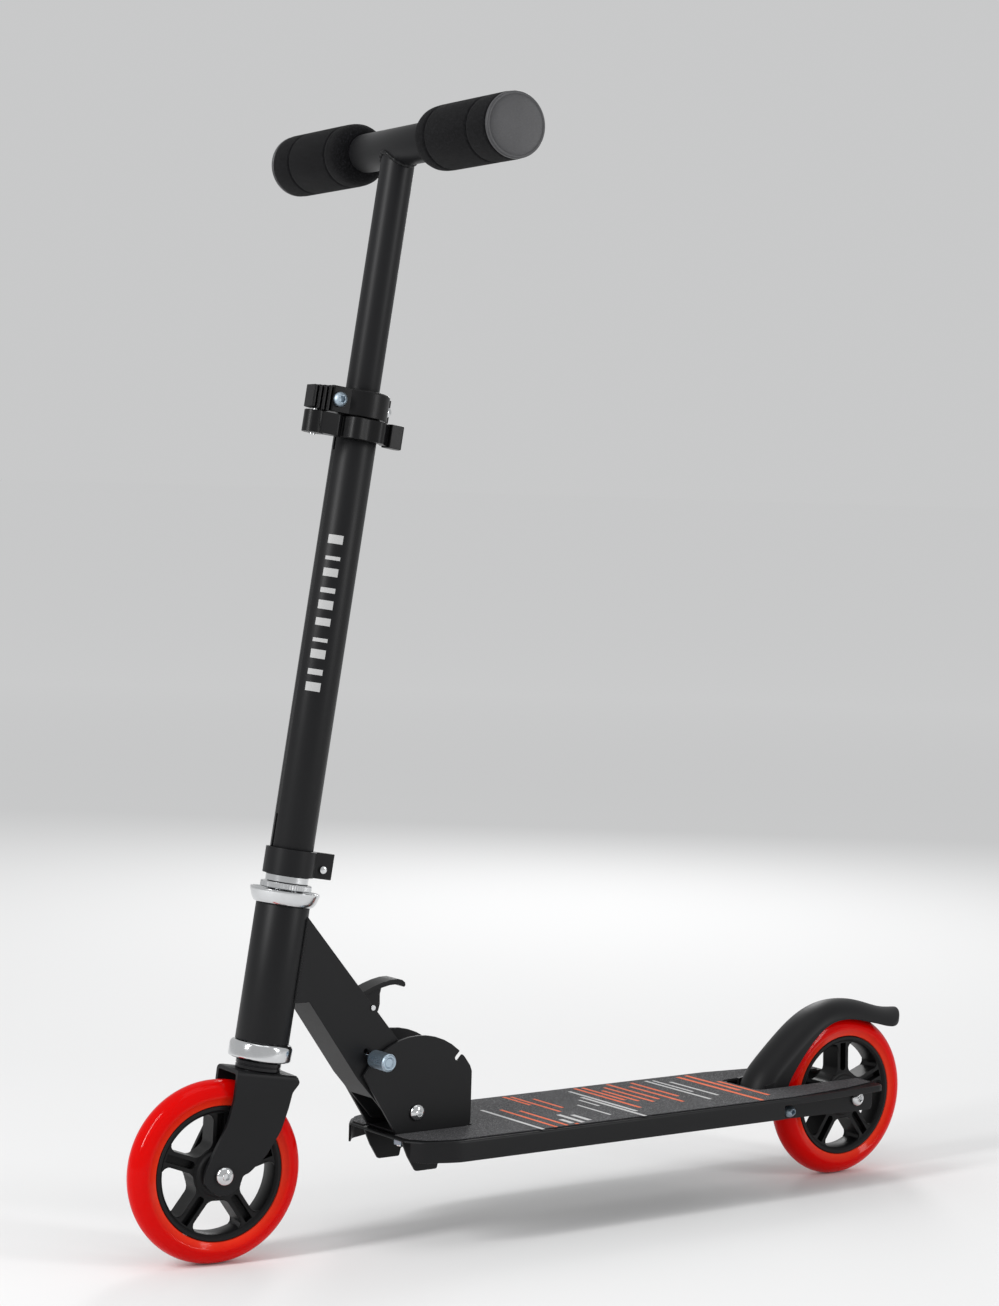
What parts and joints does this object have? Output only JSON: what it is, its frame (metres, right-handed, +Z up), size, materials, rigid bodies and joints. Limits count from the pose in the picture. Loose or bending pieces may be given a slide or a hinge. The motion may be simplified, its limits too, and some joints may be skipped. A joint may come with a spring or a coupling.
{
  "type": "kick scooter",
  "caption": "Folding inline kick scooter with T handlebar, foam grips, telescoping column, spoked wheels, gritty steel deck and rear fender brake.",
  "frame": {"origin": "middle of the footprint, on the ground under the wheels", "axes": "+X forward, +Y to the rider's left, +Z up"},
  "size_m": [0.798, 0.3732, 0.908],
  "materials": {
    "painted_black": "matte black powder coat, fine texture",
    "clamp_black": "satin black moulded nylon",
    "fender_black": "satin black, pressed",
    "wheel_core": "semi-matte black moulded nylon",
    "tyre_red": "glossy cast polyurethane, slightly translucent",
    "foam_grip": "fine closed-cell foam, matt",
    "cap_grey": "satin grey-black moulded",
    "grip_tape": "gritty abrasive sheet with printed bars",
    "bright_steel": "bright nickel plate",
    "zinc_blue": "bluish zinc plate"
  },
  "bodies": {
    "deck": {"chassis_channel": "painted_black", "deck_pan": "painted_black", "grip_tape": "grip_tape", "fold_bracket": "painted_black", "bracket_bolt_1": "bright_steel", "bracket_bolt_2": "bright_steel", "bracket_nut_1": "zinc_blue", "bracket_nut_2": "zinc_blue", "fold_hinge_bolt": "bright_steel", "fold_hinge_nut": "bright_steel", "rear_axle_bolt": "bright_steel", "rear_axle_nut": "bright_steel", "rear_axle_spacer_left": "bright_steel", "rear_axle_spacer_right": "bright_steel", "brake_pivot_bolt": "zinc_blue", "brake_pivot_nut": "zinc_blue", "brake_spring": "bright_steel"},
    "front_frame": {"down_tube": "painted_black", "head_tube": "painted_black", "upper_bearing_cup": "bright_steel", "lower_bearing_cup": "bright_steel", "upper_bearing": "bright_steel", "lower_bearing": "bright_steel", "fold_hinge_sleeve": "bright_steel", "lever_pivot_pin": "bright_steel"},
    "lock_bolt": {"lock_pin": "zinc_blue", "lock_knob": "zinc_blue"},
    "release_lever": {"release_lever": "painted_black"},
    "steering": {"fork": "painted_black", "crown_race": "painted_black", "headset_nut": "bright_steel", "lower_column": "painted_black", "column_band": "painted_black", "band_bolt": "bright_steel", "clamp_collar": "clamp_black", "clamp_bolt": "zinc_blue", "clamp_nut": "zinc_blue", "clamp_rivet": "bright_steel", "clamp_lever_pin": "bright_steel", "front_axle_bolt": "bright_steel", "front_axle_nut": "bright_steel", "front_axle_spacer_left": "bright_steel", "front_axle_spacer_right": "bright_steel"},
    "clamp_lever": {"clamp_lever": "clamp_black"},
    "handlebar": {"upper_tube": "painted_black", "cross_sleeve": "painted_black", "handle_tube": "bright_steel", "grip_left": "foam_grip", "grip_right": "foam_grip", "end_cap_left": "cap_grey", "end_cap_right": "cap_grey"},
    "front_wheel": {"front_tyre": "tyre_red", "front_wheel_core": "wheel_core", "front_bearing_left": "bright_steel", "front_bearing_right": "bright_steel"},
    "rear_wheel": {"rear_tyre": "tyre_red", "rear_wheel_core": "wheel_core", "rear_bearing_left": "bright_steel", "rear_bearing_right": "bright_steel"},
    "brake": {"brake_fender": "fender_black"}
  },
  "joints": [
    {"name": "fold", "type": "hinge", "parent": "deck", "child": "front_frame", "pos_m": [0.15146, 0, 0.106], "axis": [0, -1, 0], "range_deg": [0, 86.3]},
    {"name": "lock", "type": "slide", "parent": "front_frame", "child": "lock_bolt", "axis": [-0.673, 0, -0.7396], "range_m": [0, 0.007]},
    {"name": "release", "type": "hinge", "parent": "front_frame", "child": "release_lever", "pos_m": [0.19446, 0, 0.194], "axis": [0, 1, 0], "range_deg": [0, 6.4]},
    {"name": "steer", "type": "hinge", "parent": "front_frame", "child": "steering", "pos_m": [0.31394, 0, 0], "axis": [-0.1521, 0, 0.9884], "continuous": true},
    {"name": "front_wheel_spin", "type": "hinge", "parent": "steering", "child": "front_wheel", "pos_m": [0.32708, -0.00297, 0.07249], "axis": [0.1215, 0.9924, 0.0187], "continuous": true},
    {"name": "clamp_open", "type": "hinge", "parent": "steering", "child": "clamp_lever", "pos_m": [0.25555, 0.00278, 0.6598], "axis": [0.1521, 0, -0.9884], "range_deg": [0, 95]},
    {"name": "height", "type": "slide", "parent": "steering", "child": "handlebar", "axis": [-0.1521, 0, 0.9884], "range_m": [-0.16, 0]},
    {"name": "rear_wheel_spin", "type": "hinge", "parent": "deck", "child": "rear_wheel", "pos_m": [-0.32654, 0, 0.0725], "axis": [0, 1, 0], "continuous": true},
    {"name": "brake_press", "type": "hinge", "parent": "deck", "child": "brake", "pos_m": [-0.24504, 0, 0.069], "axis": [0, -1, 0], "range_deg": [0, 7], "stiffness_Nm_per_rad": 3, "springref_deg": -6.88}
  ],
  "couplings": [
    {"joint": "release", "follows": "lock", "rad_per_m": 15.7}
  ]
}
